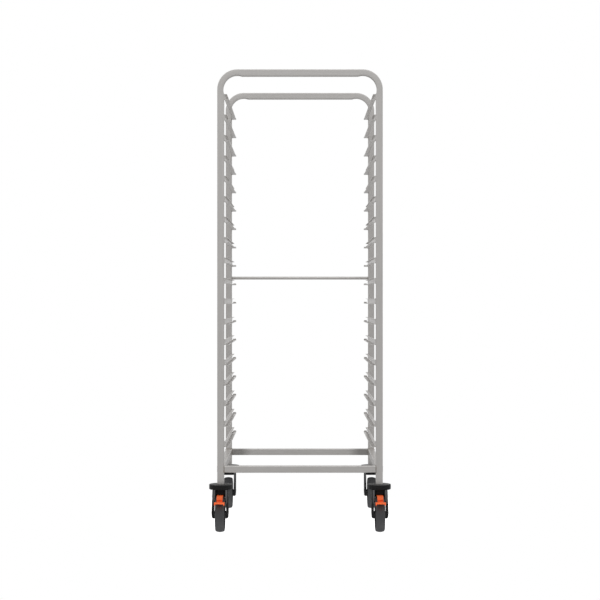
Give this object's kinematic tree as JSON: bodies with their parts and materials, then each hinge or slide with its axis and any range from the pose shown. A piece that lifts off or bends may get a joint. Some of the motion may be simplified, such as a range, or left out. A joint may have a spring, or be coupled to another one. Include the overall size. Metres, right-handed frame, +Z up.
{
  "type": "sheet pan rack",
  "caption": "Tall open mobile rack of bent square steel tube with pairs of C-shaped pan runners, a rear stop bar, round wall bumpers and swivel casters, the front ones braked.",
  "frame": {"origin": "on the floor, under the middle of the whole box of the rack with its casters trailing forward", "axes": "+Z up, -Y towards the open front with the braked casters, +X to the right seen from the front"},
  "size_m": [0.666, 0.8106, 1.688],
  "materials": {
    "stainless_tube": "satin drawn tube",
    "stainless_sheet": "satin rolled sheet",
    "zinc_steel": "zinc plated",
    "black_nylon": "moulded, fine texture",
    "bumper_plastic": "moulded, fine texture",
    "rim_plastic": "moulded, fine texture",
    "tyre_rubber": "matt rubber",
    "orange_plastic": "moulded, slight gloss",
    "brake_rubber": "matt rubber"
  },
  "bodies": {
    "rack_frame": {"front_hoop": "stainless_tube", "rear_hoop": "stainless_tube", "front_crossbar": "stainless_tube", "rear_crossbar": "stainless_tube", "side_rail_left": "stainless_tube", "side_rail_right": "stainless_tube", "rear_stop_bar": "stainless_tube", "runner_pair_01": "stainless_sheet", "runner_pair_02": "stainless_sheet", "runner_pair_03": "stainless_sheet", "runner_pair_04": "stainless_sheet", "runner_pair_05": "stainless_sheet", "runner_pair_06": "stainless_sheet", "runner_pair_07": "stainless_sheet", "runner_pair_08": "stainless_sheet", "runner_pair_09": "stainless_sheet", "runner_pair_10": "stainless_sheet", "runner_pair_11": "stainless_sheet", "runner_pair_12": "stainless_sheet", "runner_pair_13": "stainless_sheet", "runner_pair_14": "stainless_sheet", "runner_pair_15": "stainless_sheet", "runner_pair_16": "stainless_sheet", "runner_pair_17": "stainless_sheet", "runner_pair_18": "stainless_sheet", "tube_plugs": "black_nylon", "stem_front_left": "zinc_steel", "bumper_disc_front_left": "bumper_plastic", "stem_front_right": "zinc_steel", "bumper_disc_front_right": "bumper_plastic", "stem_rear_left": "zinc_steel", "bumper_disc_rear_left": "bumper_plastic", "stem_rear_right": "zinc_steel", "bumper_disc_rear_right": "bumper_plastic"},
    "caster_front_left": {"fork_front_left": "black_nylon", "swivel_bearing_front_left": "zinc_steel", "axle_bolt_front_left": "zinc_steel", "pedal_pin_front_left": "zinc_steel"},
    "wheel_front_left": {"wheel_rim_front_left": "rim_plastic", "tyre_front_left": "tyre_rubber"},
    "pedal_front_left": {"brake_pedal_front_left": "orange_plastic", "brake_shoe_front_left": "brake_rubber"},
    "caster_front_right": {"fork_front_right": "black_nylon", "swivel_bearing_front_right": "zinc_steel", "axle_bolt_front_right": "zinc_steel", "pedal_pin_front_right": "zinc_steel"},
    "wheel_front_right": {"wheel_rim_front_right": "rim_plastic", "tyre_front_right": "tyre_rubber"},
    "pedal_front_right": {"brake_pedal_front_right": "orange_plastic", "brake_shoe_front_right": "brake_rubber"},
    "caster_rear_left": {"fork_rear_left": "black_nylon", "swivel_bearing_rear_left": "zinc_steel", "axle_bolt_rear_left": "zinc_steel"},
    "wheel_rear_left": {"wheel_rim_rear_left": "rim_plastic", "tyre_rear_left": "tyre_rubber"},
    "caster_rear_right": {"fork_rear_right": "black_nylon", "swivel_bearing_rear_right": "zinc_steel", "axle_bolt_rear_right": "zinc_steel"},
    "wheel_rear_right": {"wheel_rim_rear_right": "rim_plastic", "tyre_rear_right": "tyre_rubber"}
  },
  "joints": [
    {"name": "swivel_front_left", "type": "hinge", "parent": "rack_frame", "child": "caster_front_left", "pos_m": [-0.2905, -0.28725, 0.155], "axis": [0, 0, 1], "continuous": true},
    {"name": "roll_front_left", "type": "hinge", "parent": "caster_front_left", "child": "wheel_front_left", "pos_m": [-0.2905, -0.33225, 0.0625], "axis": [1, 0, 0], "continuous": true},
    {"name": "brake_front_left", "type": "hinge", "parent": "caster_front_left", "child": "pedal_front_left", "pos_m": [-0.2905, -0.29125, 0.12], "axis": [1, 0, 0], "range_deg": [0, 5]},
    {"name": "swivel_front_right", "type": "hinge", "parent": "rack_frame", "child": "caster_front_right", "pos_m": [0.2905, -0.28725, 0.155], "axis": [0, 0, 1], "continuous": true},
    {"name": "roll_front_right", "type": "hinge", "parent": "caster_front_right", "child": "wheel_front_right", "pos_m": [0.2905, -0.33225, 0.0625], "axis": [1, 0, 0], "continuous": true},
    {"name": "brake_front_right", "type": "hinge", "parent": "caster_front_right", "child": "pedal_front_right", "pos_m": [0.2905, -0.29125, 0.12], "axis": [1, 0, 0], "range_deg": [0, 5]},
    {"name": "swivel_rear_left", "type": "hinge", "parent": "rack_frame", "child": "caster_rear_left", "pos_m": [-0.2905, 0.36275, 0.155], "axis": [0, 0, 1], "continuous": true},
    {"name": "roll_rear_left", "type": "hinge", "parent": "caster_rear_left", "child": "wheel_rear_left", "pos_m": [-0.2905, 0.31775, 0.0625], "axis": [1, 0, 0], "continuous": true},
    {"name": "swivel_rear_right", "type": "hinge", "parent": "rack_frame", "child": "caster_rear_right", "pos_m": [0.2905, 0.36275, 0.155], "axis": [0, 0, 1], "continuous": true},
    {"name": "roll_rear_right", "type": "hinge", "parent": "caster_rear_right", "child": "wheel_rear_right", "pos_m": [0.2905, 0.31775, 0.0625], "axis": [1, 0, 0], "continuous": true}
  ]
}
